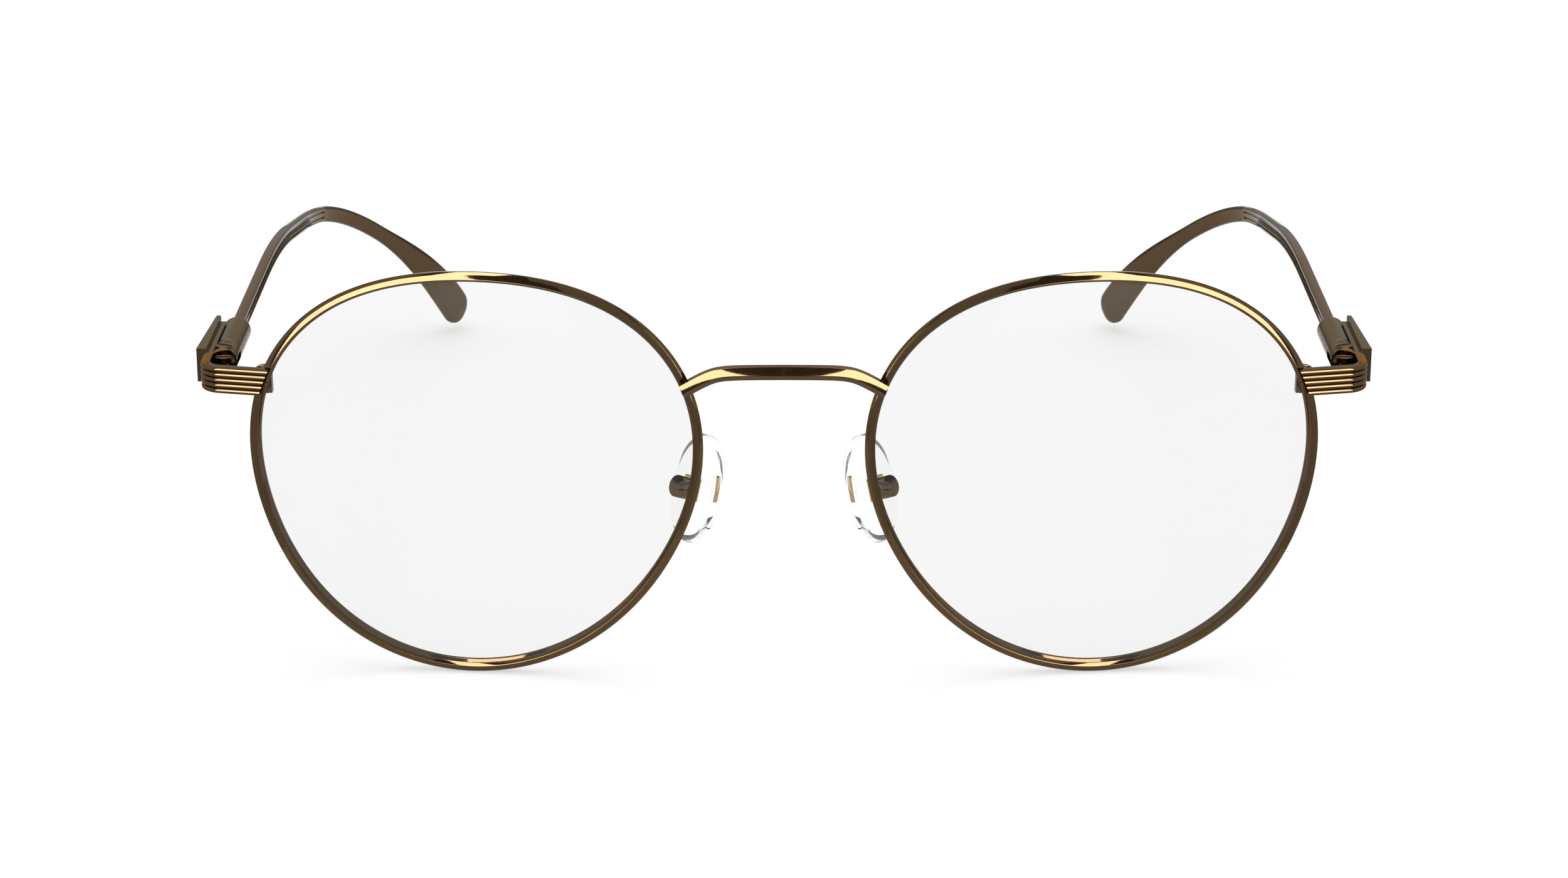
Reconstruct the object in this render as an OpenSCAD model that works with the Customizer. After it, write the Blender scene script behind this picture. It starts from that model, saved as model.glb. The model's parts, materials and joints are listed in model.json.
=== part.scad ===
/* [Lenses] */
// Boxed width of a lens
lens_w = 50.9; // [47:0.1:54]
// Boxed height of a lens
lens_h = 48.2; // [45:0.1:51]
// Least distance between the two lenses
lens_gap = 20.4; // [18:0.1:23]
// Thickness of a lens
lens_thick = 1.4; // [1.2:0.1:1.6]
// Radius of the curve that the lenses and rims follow
lens_curve = 120; // [90:5:200]
// How much fuller the outline is at its upper shoulders than below, as a share of its size
crown = 0.036; // [0.025:0.001:0.045]
// Turn of the fuller shoulders towards the nose, in degrees
crown_turn = 11; // [0:1:15]
// How far the outline leans out at its lower temple side, as a share of its size
slant = 0.011; // [0:0.001:0.015]
// How far the outline's four corners stand out, as a share of its size
cheek = 0.007; // [0:0.001:0.012]
// Turn of each lens towards the temple, in degrees
face_form = 4; // [2:0.5:6]
// Tilt of the front against the temples, in degrees
front_tilt = 3; // [1:0.5:5]

/* [Rims] */
// Width of the rim wire seen from the front
rim_w = 1.2; // [1.1:0.05:1.4]
// Depth of the rim wire from front to back
rim_d = 1.8; // [1.6:0.1:2]
// Distance of the rim's front ridge from its inner edge
rim_ridge = 0.33; // [0.28:0.01:0.4]
// How far the rim's front slopes back from its ridge to its outer edge
rim_slope = 0.25; // [0.15:0.05:0.3]
// How far the rim's outer side draws in towards the back
rim_taper = 0.35; // [0.2:0.05:0.4]
// How far the rim's lips cover the lens edge
rim_lip = 0.35; // [0.3:0.05:0.5]
// Depth of the groove that holds the lens
groove_depth = 0.55; // [0.5:0.05:0.7]
// Width of the groove at the lips
groove_w = 0.9; // [0.8:0.05:1]
// Gap where each rim opens to take its lens
rim_gap = 0.4; // [0.3:0.05:0.6]
// Clearance round a lens in its groove
lens_play = 0.1; // [0.08:0.01:0.15]

/* [Bridge] */
// Height of the bridge's ends above the middle of the lenses
bridge_join = 11.2; // [9.5:0.1:12.5]
// Half the length of the bridge's flat middle
bridge_flat = 8; // [6.6:0.2:9]
// Slope of the bridge's shoulders, in degrees
bridge_slope = 33; // [25:1:40]
// Length over which the bridge bends into its shoulders
bridge_soft = 1.6; // [1:0.1:2.4]
// Height of the bridge bar
bridge_tall = 1.65; // [1.4:0.05:2]
// Depth of the bridge bar
bridge_deep = 1.4; // [1.2:0.1:1.8]
// How far the bridge bows forward in its middle
bridge_bow = 0.5; // [0:0.1:1.5]
// How deep the bridge's ends sit over the rims
bridge_seat = 0.35; // [0.2:0.05:0.6]
// Share of the rim's width that the bridge leaves bare
bridge_bare = 0.25; // [0.1:0.05:0.4]

/* [End pieces] */
// Number of ribs along an end piece
rib_count = 5; // [3:1:6]
// Spacing of the ribs
rib_pitch = 0.63; // [0.5:0.01:0.7]
// Height of a rib's rounded crest
rib_crest = 0.3; // [0.2:0.01:0.4]
// Thickness of the band that carries the ribs
band_thick = 0.8; // [0.6:0.02:0.9]
// Inside radius of the band's bend
band_bend = 1.8; // [1.4:0.1:2.4]
// Straight length of the band between its bend and the hinge
band_lead = 1; // [0.5:0.1:1.5]
// Angle by which the band leans back from the rim, in degrees
band_sweep = 12; // [8:1:16]
// Height of the band's middle above the middle of the lenses
band_join = 11; // [9:0.1:12]
// How deep the band sits over the rim
band_seat = 0.25; // [0.15:0.05:0.4]
// Share of the rim's width that the band leaves bare
rim_bare = 0.45; // [0.3:0.05:0.6]

/* [Closing blocks] */
// Width of a closing block
block_w = 1.9; // [1.6:0.1:2.1]
// How far a closing block stands behind the rim
block_back = 1.6; // [1.4:0.1:2]
// Height of a closing block's upper half
block_up = 0.5; // [0.4:0.1:1]
// Height of a closing block's lower half
block_down = 2; // [1.4:0.1:2.4]
// Diameter of the closing screw
block_screw_d = 0.7; // [0.6:0.05:0.8]
// Diameter of the closing screw's head
block_head_d = 1.2; // [1:0.05:1.3]
// Height of the closing screw's head
block_head_tall = 0.2; // [0.2:0.05:0.4]

/* [Hinges] */
// Distance from the rim's outer edge to the hinge tube's axis
hinge_out = 2.9; // [2.6:0.1:3.4]
// Height of the hinge tube's axis above the middle of the end piece
hinge_up = 1; // [0.6:0.1:1.4]
// Diameter of the hinge tube
tube_d = 3.3; // [3:0.1:3.6]
// Wall of the tube's open front
tube_wall = 0.3; // [0.25:0.05:0.4]
// Depth of the recess in the tube's open front
tube_recess = 0.8; // [0.5:0.1:0.9]
// Length of the hinge tube
tube_len = 13.2; // [11:0.2:15]
// Radius of the tube's rear shoulder
shoulder = 1; // [0.6:0.1:1.2]
// Thickness of the outer plate at its front
plate_thick = 1.15; // [1:0.05:1.3]
// Thickness of the outer plate at its rear
plate_thin = 0.55; // [0.5:0.05:0.8]
// Height of the outer plate
plate_tall = 4; // [3.4:0.1:4.6]
// Length of the outer plate
plate_len = 13; // [12:0.2:15]
// Width of the groove between the plate and the tube
plate_gap = 0.25; // [0.25:0.05:0.5]
// Depth of the groove between the plate and the tube
plate_groove = 0.5; // [0.3:0.05:0.7]
// Bevel of the plate's rear corners
plate_bevel = 0.15; // [0.1:0.05:0.2]
// Distance from the tube's front to the hinge axis
pin_back = 1.5; // [1.4:0.05:1.7]
// Distance from the tube's front to the seam across the plate
seam_back = 2.8; // [2.8:0.05:3.2]
// Width of the seam between the hinge block and the temple
seam = 0.06; // [0.04:0.01:0.1]
// Radius of the hinge block's rounded ears
ear_r = 2.3; // [2.28:0.01:2.5]
// Thickness of the temple's hinge tongue
tongue_thick = 0.8; // [0.6:0.05:1]
// Radius of the tongue's round end
tongue_r = 1.4; // [1.1:0.05:1.4]
// Diameter of the hinge screw
pin_d = 1; // [0.8:0.05:1.1]
// Radial clearance of the hinge screw in the tongue
pin_play = 0.03; // [0.02:0.005:0.06]
// Diameter of the hinge screw's head
head_d = 2.1; // [1.8:0.05:2.2]
// Height of the hinge screw's head
head_tall = 0.35; // [0.25:0.05:0.4]

/* [Temples] */
// Length of a temple from the hinge axis to its end
temple_len = 143; // [138:1:152]
// Thickness of the temple bar
bar_thick = 1.3; // [1.2:0.1:1.5]
// Height of the temple bar
bar_tall = 2.2; // [2:0.1:2.6]
// Depth of the two grooves along each side of the bar
bar_groove = 0.2; // [0.1:0.05:0.25]
// Length from the hinge axis to the first slight bend
dip_start = 36; // [30:0.5:42]
// Angle of the first slight bend, in degrees
dip_angle = 10.75; // [6:0.25:12]
// Length over which the first bend turns
dip_run = 25; // [10:1:30]
// Length from the hinge axis to the ear bend
ear_start = 86; // [82:0.5:90]
// Drop of the ear bend, in degrees
ear_drop = 39.5; // [30:0.5:42]
// Length from the hinge axis to the inward turn
turn_start = 76.5; // [73:0.5:80]
// Length over which the temple turns inward
turn_run = 43.5; // [30:0.5:50]
// Inward turn of the temple, in degrees
ear_turn = 26; // [15:0.5:30]
// Length from the hinge axis to the tip's sleeve
tip_start = 90; // [86:1:96]
// Length from the hinge axis to where the tip swells into its paddle
swell_start = 113; // [100:1:118]
// Height of the tip's paddle
tip_tall = 5.2; // [4.4:0.2:5.6]
// Thickness of the tip's paddle
tip_thick = 2.7; // [2.2:0.1:3]
// How far the paddle's middle stands above the path
tip_lift = 0.2; // [0:0.1:0.4]
// Diameter of the wire core inside the tip
core_d = 0.8; // [0.7:0.05:0.85]
// Length of the wire core inside the tip
core_len = 34; // [20:1:38]
// Clearance round the wire core
core_play = 0.1; // [0.08:0.01:0.15]

/* [Nose pads] */
// Distance between the middles of the two pads
pad_spread = 20.2; // [19:0.2:22]
// Distance of the pads behind the front
pad_back = 7.5; // [7:0.1:9]
// Distance of the pads below the middle of the lenses
pad_below = 3.4; // [2:0.1:5]
// Length of a pad
pad_len = 13; // [11:0.5:15]
// Width of a pad
pad_w = 8; // [6.8:0.2:8.4]
// Thickness of a pad
pad_thick = 2.4; // [2.2:0.1:2.8]
// Turn of the pads towards the face, in degrees
pad_splay = 40; // [34:1:44]
// Lean of the pads towards each other at the top, in degrees
pad_lean = 16; // [10:1:22]
// Distance from a pad's back to its pivot
pad_pivot = 1.15; // [1.1:0.05:1.5]
// Diameter of a pad box
box_d = 2.6; // [2.5:0.05:2.8]
// Length of a pad box behind the pivot
box_rear = 0.95; // [0.95:0.05:1.3]
// Length of a pad box in front of the pivot
box_front = 0.5; // [0.4:0.05:0.55]
// Lean of a pad box against its pad, in degrees
box_lean = 8; // [4:1:10]
// Thickness of the tab on a pad's insert
tab_thick = 0.8; // [0.6:0.05:0.9]
// Radius of the tab's round end
tab_r = 0.6; // [0.6:0.05:0.7]
// Diameter of a pad screw
pad_screw_d = 0.7; // [0.6:0.05:0.75]
// Diameter of a pad screw's head
pad_head_d = 1.1; // [1:0.05:1.2]
// Clearance of the tab in its box
tab_play = 0.05; // [0.03:0.01:0.08]
// Angle through which a pad rocks each way, in degrees
pad_rock = 8; // [4:1:10]
// Diameter of the wire that carries a pad box
arm_d = 1.1; // [0.9:0.1:1.3]
// Height of the arm's foot on the rim above the middle of the lenses
arm_join = -1.4; // [-3:0.1:0]

/* [Hidden] */
$fn = 48;

bronze = "#6B5A48";
dark_bronze = "#4A3A2A";
gold = "#B08D5B";
tip_brown = "#5E4C38";
clear = "#DDE3E6";

// Small overlap that lets one cut or part of a solid run past another
nip = 0.2;

// The lens outline is a circle with three gentle waves, stretched to the lens's boxed width and height.
// Angle 0 points to the temple, 90 up and 180 to the nose.
function fullness(t) = 1 + crown * sin(3 * t - crown_turn) - slant * sin(2 * t) - cheek * cos(4 * t);
function wave(t) = fullness(t) * [cos(t), sin(t)];
waves = [for (t = [0:1:359]) wave(t)];
wave_low = [min([for (p = waves) p.x]), min([for (p = waves) p.y])];
wave_high = [max([for (p = waves) p.x]), max([for (p = waves) p.y])];
wave_middle = (wave_low + wave_high) / 2;
wave_span = wave_high - wave_low;
function outline(t) = let (p = wave(t) - wave_middle)
    [lens_w * p.x / wave_span.x, lens_h * p.y / wave_span.y];
function unit(v) = v / norm(v);
small_step = 0.01;
function outline_normal(t) = let (along = outline(t + small_step) - outline(t - small_step))
    unit([along.y, -along.x]);
function edge(t, out) = outline(t) + out * outline_normal(t);
function sag(p) = lens_curve - sqrt(lens_curve * lens_curve - p.x * p.x - p.y * p.y);

// Rims and lenses are drawn in a frame at the lens's middle and set into the front by these
lens_x = (lens_gap + lens_w) / 2;
rim_reach = rim_w - rim_lip;
lens_z = (lens_h / 2 + rim_reach) * cos(front_tilt) - (sag([0, lens_h / 2]) - rim_d / 2) * sin(front_tilt);
function tilted(p) = [
    p.x,
    p.y * cos(front_tilt) - p.z * sin(front_tilt),
    p.y * sin(front_tilt) + p.z * cos(front_tilt)
];
function turned(p) = [
    p.x * cos(face_form) - p.y * sin(face_form),
    p.x * sin(face_form) + p.y * cos(face_form),
    p.z
];
function in_front(p) = turned(tilted(p)) + [lens_x, 0, lens_z];
module front_frame() translate([lens_x, 0, lens_z]) rotate([front_tilt, 0, face_form]) children();
function rim_point(t, out, deep) = let (p = edge(t, out)) in_front([p.x, sag(outline(t)) + deep, p.y]);

// Angles on the outline's temple side and nose side at heights above the lens's middle
temple_heights = [for (t = [-80:2:80]) [outline(t).y, t]];
nose_heights = [for (t = [260:-2:100]) [outline(t).y, t]];

// Solid through a list of rings with equal counts, closed flat at both ends
module loft(rings) {
    count = len(rings[0]);
    last = len(rings) - 1;
    polyhedron(
        points = [for (ring = rings) each ring],
        faces = concat(
            [[for (j = [0:count - 1]) j]],
            [for (i = [0:last - 1]) for (j = [0:count - 1]) let (k = (j + 1) % count) each [
                [i * count + j, (i + 1) * count + j, (i + 1) * count + k],
                [i * count + j, (i + 1) * count + k, i * count + k]
            ]],
            [[for (j = [count - 1:-1:0]) last * count + j]]
        )
    );
}

// Solid through closed rings, ending in a point at each end
module pointed_loft(first, rings, final) {
    count = len(rings[0]);
    last = len(rings) - 1;
    polyhedron(
        points = concat([first], [for (ring = rings) each ring], [final]),
        faces = concat(
            [for (j = [0:count - 1]) [0, 1 + j, 1 + (j + 1) % count]],
            [for (i = [0:last - 1]) for (j = [0:count - 1]) let (k = (j + 1) % count) each [
                [1 + i * count + j, 1 + (i + 1) * count + j, 1 + (i + 1) * count + k],
                [1 + i * count + j, 1 + (i + 1) * count + k, 1 + i * count + k]
            ]],
            [for (j = [0:count - 1]) let (k = (j + 1) % count)
                [1 + (last + 1) * count, 1 + last * count + k, 1 + last * count + j]]
        )
    );
}

module mirrored() mirror([1, 0, 0]) children();

// Rims

rim_bevel = 0.2;
rim_edge = 0.25;
rim_soft = 0.1;
rim_section = concat(
    [[0, -rim_d / 2 + rim_bevel], [rim_ridge, -rim_d / 2]],
    [[rim_w - rim_edge, -rim_d / 2 + rim_slope], [rim_w, -rim_d / 2 + rim_slope + rim_edge]],
    [[rim_w - rim_taper, rim_d / 2 - rim_soft], [rim_w - rim_taper - rim_soft, rim_d / 2]],
    [[rim_soft, rim_d / 2], [0, rim_d / 2 - rim_soft]],
    [[0, groove_w / 2], [groove_depth, 0], [0, -groove_w / 2]]
);
rim_steps = 64;
band_angle = lookup(band_join, temple_heights);
rim_half_gap = rim_gap / 2 / norm(outline(band_angle)) * 180 / PI;

rim_step = (360 - 2 * rim_half_gap) / rim_steps;
function rim_station(i) = band_angle + rim_half_gap + rim_step * i;
function rim_index(t) = round((t - rim_station(0)) / rim_step);

module rim_run(from, to) {
    loft([for (i = [from:to]) [for (s = rim_section) rim_point(rim_station(i), s[0] - rim_lip, s[1])]]);
}

module rim() color(bronze) rim_run(0, rim_steps);

// Short stretches of the same rim, for seating other pieces on it
seat_steps = 2;
module rim_seat(t) rim_run(rim_index(t) - seat_steps, rim_index(t) + seat_steps);
module rim_end_seats() {
    rim_run(0, seat_steps);
    rim_run(rim_steps - seat_steps, rim_steps);
}

// Prism through the rim's opening, grown outwards by a given width
opening_sides = 72;
opening_deep = lens_w / 2;
module opening(grown) front_frame() rotate([90, 0, 0]) linear_extrude(opening_deep, center = true)
    polygon([for (i = [1:opening_sides]) edge(360 * i / opening_sides, grown - rim_lip)]);

// Lenses

lens_steps = 60;
lens_half = lens_thick / 2;
lens_shoulder = min(lens_half, groove_w / 2 - lens_play / 2);
lens_rings = [0.4, 0.75];
function lens_ring(share, deep) = [for (i = [0:lens_steps - 1]) let (t = 360 * i / lens_steps,
    p = share * edge(t, -rim_lip - lens_play)) in_front([p.x, sag(p) + deep, p.y])];

module lens() color(clear) pointed_loft(
    in_front([0, lens_half, 0]),
    concat(
        [for (share = lens_rings) lens_ring(share, lens_half)],
        [lens_ring(1, lens_half), lens_ring(1, lens_shoulder)],
        [[for (i = [0:lens_steps - 1]) rim_point(360 * i / lens_steps, 0, 0)]],
        [lens_ring(1, -lens_shoulder), lens_ring(1, -lens_half)],
        [for (i = [1:len(lens_rings)]) lens_ring(lens_rings[len(lens_rings) - i], -lens_half)]
    ),
    in_front([0, -lens_half, 0])
);

// Bridge

bridge_angle = lookup(bridge_join, nose_heights);
rim_middle = rim_w / 2 - rim_lip;
bridge_foot = rim_point(bridge_angle, rim_middle, -rim_d / 2);
bridge_spare = 1;
bridge_half = rim_point(bridge_angle, -rim_lip, 0).x + bridge_spare;
bridge_y = bridge_foot.y + bridge_seat - bridge_deep / 2;
bridge_steps = 28;
function bridge_fall(x) = let (past = abs(x) - bridge_flat)
    tan(bridge_slope) * (past + norm([past, bridge_soft])) / 2;
bridge_z = bridge_foot.z + bridge_fall(bridge_foot.x);
function bridge_point(x) = [
    x,
    bridge_y - bridge_bow * (1 - pow(x / bridge_foot.x, 2)),
    bridge_z - bridge_fall(x)
];
bridge_sides = 16;
bridge_square = 0.55;
function signed_power(v, p) = sign(v) * pow(abs(v), p);
function bridge_ring(x) = let (
    along = unit(bridge_point(x + small_step) - bridge_point(x - small_step)),
    up = unit(cross(along, [0, 1, 0])),
    out = cross(along, up))
    [for (k = [0:bridge_sides - 1]) let (a = 360 * k / bridge_sides)
        bridge_point(x)
        + up * bridge_tall / 2 * signed_power(cos(a), bridge_square)
        + out * bridge_deep / 2 * signed_power(sin(a), bridge_square)];

module bridge() color(bronze) difference() {
    loft([for (i = [-bridge_steps / 2:bridge_steps / 2]) bridge_ring(bridge_half * i / (bridge_steps / 2))]);
    rim_seat(bridge_angle);
    opening(rim_w * bridge_bare);
    mirrored() rim_seat(bridge_angle);
    mirrored() opening(rim_w * bridge_bare);
}

// End pieces, with the ribbed band bent back to the hinge

band_tall = rib_count * rib_pitch;
band_rim = rim_point(band_angle, rim_middle, -rim_d / 2);
hinge_x = lens_x + lens_w / 2 + rim_reach + hinge_out;
band_inner = hinge_x + tube_d / 2 - tube_wall;
band_z = band_rim.z;
bend_x = band_inner - band_bend;
band_run = (bend_x - band_rim.x + band_bend * sin(band_sweep)) / cos(band_sweep);
bend_y = band_rim.y + band_seat + band_run * sin(band_sweep) + band_bend * cos(band_sweep);
hinge_y = bend_y + band_lead;

rib_steps = 6;
function rib_middle(i) = (i - (rib_count - 1) / 2) * rib_pitch;
function rib_points(i) = [for (k = [0:rib_steps - 1]) let (a = 180 * k / rib_steps - 90)
    [band_thick + rib_crest * cos(a), rib_middle(i) + rib_pitch / 2 * sin(a)]];
module rib_profile() polygon(concat(
    [[0, band_tall / 2], [0, -band_tall / 2]],
    [for (i = [0:rib_count - 1]) each rib_points(i)],
    [[band_thick, band_tall / 2]]
));

module end_piece() color(bronze) difference() {
    translate([bend_x, bend_y, band_z]) {
        rotate([-90, 0, 0]) linear_extrude(band_lead)
            translate([band_bend, 0]) mirror([0, 1]) rib_profile();
        rotate([0, 0, band_sweep - 90]) {
            rotate_extrude(angle = 90 - band_sweep) translate([band_bend, 0]) rib_profile();
            rotate([90, 0, 0]) linear_extrude(band_run + rim_w) translate([band_bend, 0]) rib_profile();
        }
    }
    rim_end_seats();
    opening(rim_w * rim_bare);
}

// Closing blocks, which draw the open rim together behind the end piece

block_sink = 0.1;
block_edge = edge(band_angle, block_w / 2 - rim_lip);
block_at = [block_edge.x, sag(outline(band_angle)) + rim_d / 2, block_edge.y];
block_split = rim_gap / 2;
block_pin = block_back - block_w / 2;
block_top = block_split + block_up;
block_bottom = block_split + block_down;
module block_frame() front_frame() translate(block_at) children();

module block_half(foot, tall) difference() {
    block_frame() translate([0, 0, foot]) linear_extrude(tall) {
        translate([-block_w / 2, -block_sink]) square([block_w, block_pin + block_sink]);
        translate([0, block_pin]) circle(d = block_w);
    }
    rim_end_seats();
    block_frame() translate([0, block_pin, -block_bottom - nip])
        cylinder(d = block_screw_d, h = block_bottom + block_top + 2 * nip);
}

module closing_block_upper() color(bronze) block_half(block_split, block_up);
module closing_block_lower() color(bronze) block_half(-block_bottom, block_down);

slot_share = 0.22;
slot_turn = 25;
module slotted_head(d, tall) difference() {
    cylinder(d = d, h = tall);
    translate([-d, -d * slot_share / 2, tall / 2]) cube([2 * d, d * slot_share, tall]);
}

module closing_screw() color(dark_bronze) block_frame() translate([0, block_pin, 0]) {
    translate([0, 0, -block_bottom]) cylinder(d = block_screw_d, h = block_bottom + block_top);
    translate([0, 0, block_top]) slotted_head(block_head_d, block_head_tall);
}

// Hinges: a plate and a tube in one, parted by a seam round the hinge screw

hinge_z = band_z + hinge_up;
plate_z = hinge_z + tube_d / 2 - plate_tall / 2;
plate_in = tube_d / 2 + plate_gap;
tube_r = tube_d / 2;
ear_gap = tongue_thick / 2 + seam;
head_seat = tube_r - head_tall;

module hinge_frame() translate([hinge_x, hinge_y, hinge_z]) children();
module along_tube() rotate([-90, 0, 0]) children();
module at_pin() translate([0, pin_back, 0]) children();

// Cross-section of tube and web from one length to another
module hinge_bar(from, to) translate([0, from, 0]) {
    along_tube() cylinder(r = tube_r, h = to - from);
    translate([0, 0, plate_foot + plate_groove])
        cube([plate_in + nip, to - from, plate_tall - 2 * plate_groove]);
}

// The outer plate, which grows thinner towards its rear
plate_foot = plate_z - hinge_z - plate_tall / 2;
module plate() translate([plate_in, 0, plate_foot]) linear_extrude(plate_tall) polygon([
    [0, 0],
    [plate_thick, 0],
    [plate_thin, plate_len - plate_bevel],
    [plate_thin - plate_bevel, plate_len],
    [plate_bevel, plate_len],
    [0, plate_len - plate_bevel]
]);

// Everything on the front's side of the seam, grown by a width
module front_side(grown) {
    tall = plate_tall + tube_d;
    at_pin() cylinder(r = ear_r + grown, h = tall, center = true);
    translate([-tube_d, -nip, -tall / 2]) cube([2 * tube_d, pin_back + nip, tall]);
    translate([ear_r / 2, -nip, -tall / 2])
        cube([plate_in + plate_thick, seam_back + grown + nip, tall]);
}

// Room that the temple's tongue needs as it folds
module tongue_room() {
    half = ear_gap;
    at_pin() translate([0, 0, -half]) {
        cylinder(r = tongue_r + seam, h = 2 * half);
        translate([-tube_d - tongue_r, -tongue_r - seam, 0]) cube([tube_d + tongue_r, tube_d * 2, 2 * half]);
        translate([-tube_d, 0, 0]) cube([tube_d + tongue_r + seam, tube_d * 2, 2 * half]);
    }
}

module hinge_block() color(bronze) hinge_frame() difference() {
    intersection() {
        union() {
            hinge_bar(0, pin_back + ear_r);
            plate();
        }
        front_side(0);
    }
    translate([0, -nip, 0]) along_tube() cylinder(r = tube_r - tube_wall, h = tube_recess + nip);
    tongue_room();
    at_pin() cylinder(d = pin_d, h = 2 * tube_d, center = true);
    at_pin() translate([0, 0, head_seat]) cylinder(d = head_d + 2 * seam, h = tube_d);
}

module hinge_screw() color(dark_bronze) hinge_frame() at_pin() {
    translate([0, 0, -tube_r + nip]) cylinder(d = pin_d, h = head_seat + tube_r - nip);
    translate([0, 0, head_seat]) rotate([0, 0, slot_turn]) slotted_head(head_d, head_tall);
}

module tongue() difference() {
    at_pin() translate([0, 0, -tongue_thick / 2]) {
        cylinder(r = tongue_r, h = tongue_thick);
        translate([-tongue_r, 0, 0]) cube([2 * tongue_r, ear_r + shoulder, tongue_thick]);
    }
    at_pin() cylinder(d = pin_d + 2 * pin_play, h = tube_d, center = true);
}

// Tube closed by its rounded rear shoulder
module shoulder_tube() along_tube() rotate_extrude() {
    square([tube_r, tube_len - shoulder]);
    square([tube_r - shoulder, tube_len]);
    translate([tube_r - shoulder, tube_len - shoulder]) intersection() {
        circle(shoulder);
        square(shoulder);
    }
}

module temple_housing() color(bronze) hinge_frame() {
    difference() {
        union() {
            intersection() {
                hinge_bar(0, tube_len - shoulder);
                union() {
                    shoulder_tube();
                    translate([0, 0, -plate_tall]) cube([plate_in + nip, tube_len, 2 * plate_tall]);
                }
            }
            shoulder_tube();
            plate();
        }
        front_side(seam);
    }
    tongue();
}

// Temples, along a path that is straight, dips slightly, then bends down and in behind the ear

path_steps = 145;
path_step = temple_len / path_steps;
function share_of(s, from, run) = min(1, max(0, (s - from) / run));
function pitch(s) = dip_angle * share_of(s, dip_start, dip_run)
    + ear_drop * share_of(s, ear_start, temple_len - ear_start);
function yaw(s) = ear_turn * share_of(s, turn_start, turn_run);
function path_along(s) = [-sin(yaw(s)) * cos(pitch(s)), cos(yaw(s)) * cos(pitch(s)), -sin(pitch(s))];
path_points = [for (i = 0, p = [hinge_x, hinge_y + pin_back, hinge_z]; i <= path_steps;
    p = p + path_step * path_along((i + 0.5) * path_step), i = i + 1) p];
function path_at(s) = let (i = min(path_steps - 1, floor(s / path_step)))
    path_points[i] + (s - i * path_step) * path_along(s);
function path_side(s) = [-cos(yaw(s)), -sin(yaw(s)), 0];
function path_up(s) = cross(path_along(s), path_side(s));
function path_ring(s, section) = [for (p = section) path_at(s) + p[0] * path_side(s) + p[1] * path_up(s)];

groove_at = bar_tall / 6;
groove_half = 0.14;
bar_side = bar_thick / 2;
bar_top = bar_tall / 2;
bar_crease = 0.1;
bar_edge = 0.28;
bar_flank = [
    [bar_side - bar_edge, -bar_top + bar_crease],
    [bar_side, -bar_top + bar_crease + bar_edge],
    [bar_side, -groove_at - groove_half],
    [bar_side - bar_groove, -groove_at],
    [bar_side, -groove_at + groove_half],
    [bar_side, groove_at - groove_half],
    [bar_side - bar_groove, groove_at],
    [bar_side, groove_at + groove_half],
    [bar_side, bar_top - bar_crease - bar_edge],
    [bar_side - bar_edge, bar_top - bar_crease]
];
bar_section = concat([[0, -bar_top]], bar_flank, [[0, bar_top]],
    [for (i = [len(bar_flank) - 1:-1:0]) [-bar_flank[i][0], bar_flank[i][1]]]);
function disc(d, sides) = [for (k = [0:sides - 1]) d / 2 * [sin(360 * k / sides), -cos(360 * k / sides)]];
bar_start = tube_len - pin_back;
dip_turns = 6;
bar_turns = 6;
bar_stations = concat(
    [bar_start],
    [for (i = [0:dip_turns]) dip_start + dip_run * i / dip_turns],
    [for (i = [0:bar_turns]) turn_start + (tip_start - turn_start) * i / bar_turns]
);
core_sides = 12;
core_steps = 12;
core_root = 0.4;
function core_station(i, spare) = tip_start - core_root + (core_len + core_root + spare) * i / core_steps;

module temple_bar() color(bronze) {
    loft([for (s = bar_stations) path_ring(s, bar_section)]);
    loft([for (i = [0:core_steps]) path_ring(core_station(i, 0), disc(core_d, core_sides))]);
}

// Tips: a smooth sleeve that swells into a rounded paddle

tip_sides = 16;
tip_steps = 22;
tip_cap = tip_tall / 2;
tip_blunt = 0.97;
tip_square = 0.8;
tip_body = temple_len - tip_cap;
function tip_swell(s) = let (u = share_of(s, swell_start, tip_body - swell_start)) u * u * (3 - 2 * u);
function tip_close(s) = let (u = share_of(s, tip_body, tip_cap)) sqrt(1 - tip_blunt * u * u);
function tip_section(s) = let (
    grown = tip_swell(s),
    closed = tip_close(s),
    thick = closed * (bar_thick + (tip_thick - bar_thick) * grown),
    tall = closed * (bar_tall + (tip_tall - bar_tall) * grown))
    [for (k = [0:tip_sides - 1]) let (a = 360 * k / tip_sides)
        [
            thick / 2 * signed_power(sin(a), tip_square),
            tip_lift * grown - tall / 2 * signed_power(cos(a), tip_square)
        ]];
tip_caps = 6;
tip_runs = tip_steps - tip_caps;
function tip_station(i) = i <= tip_runs ? tip_start + (tip_body - tip_start) * i / tip_runs
    : tip_body + tip_cap * sin(90 * (i - tip_runs) / tip_caps);

module temple_tip() color(tip_brown) difference() {
    loft([for (i = [0:tip_steps]) path_ring(tip_station(i), tip_section(tip_station(i)))]);
    loft([for (i = [0:core_steps])
        path_ring(core_station(i, core_play), disc(core_d + 2 * core_play, core_sides))]);
}

// Nose pads: each rocks on a screw in a round box at the end of a wire arm

pad_at = [pad_spread / 2, pad_back, lens_z - pad_below];
module pad_frame() translate(pad_at) rotate([0, pad_lean, 180 - pad_splay]) children();
pivot_x = -pad_thick / 2 - pad_pivot;
module box_frame() pad_frame() translate([pivot_x, 0, 0]) rotate([0, box_lean, 0]) children();
module along_x() rotate([0, 90, 0]) children();
module along_y() rotate([-90, 0, 0]) children();

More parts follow.
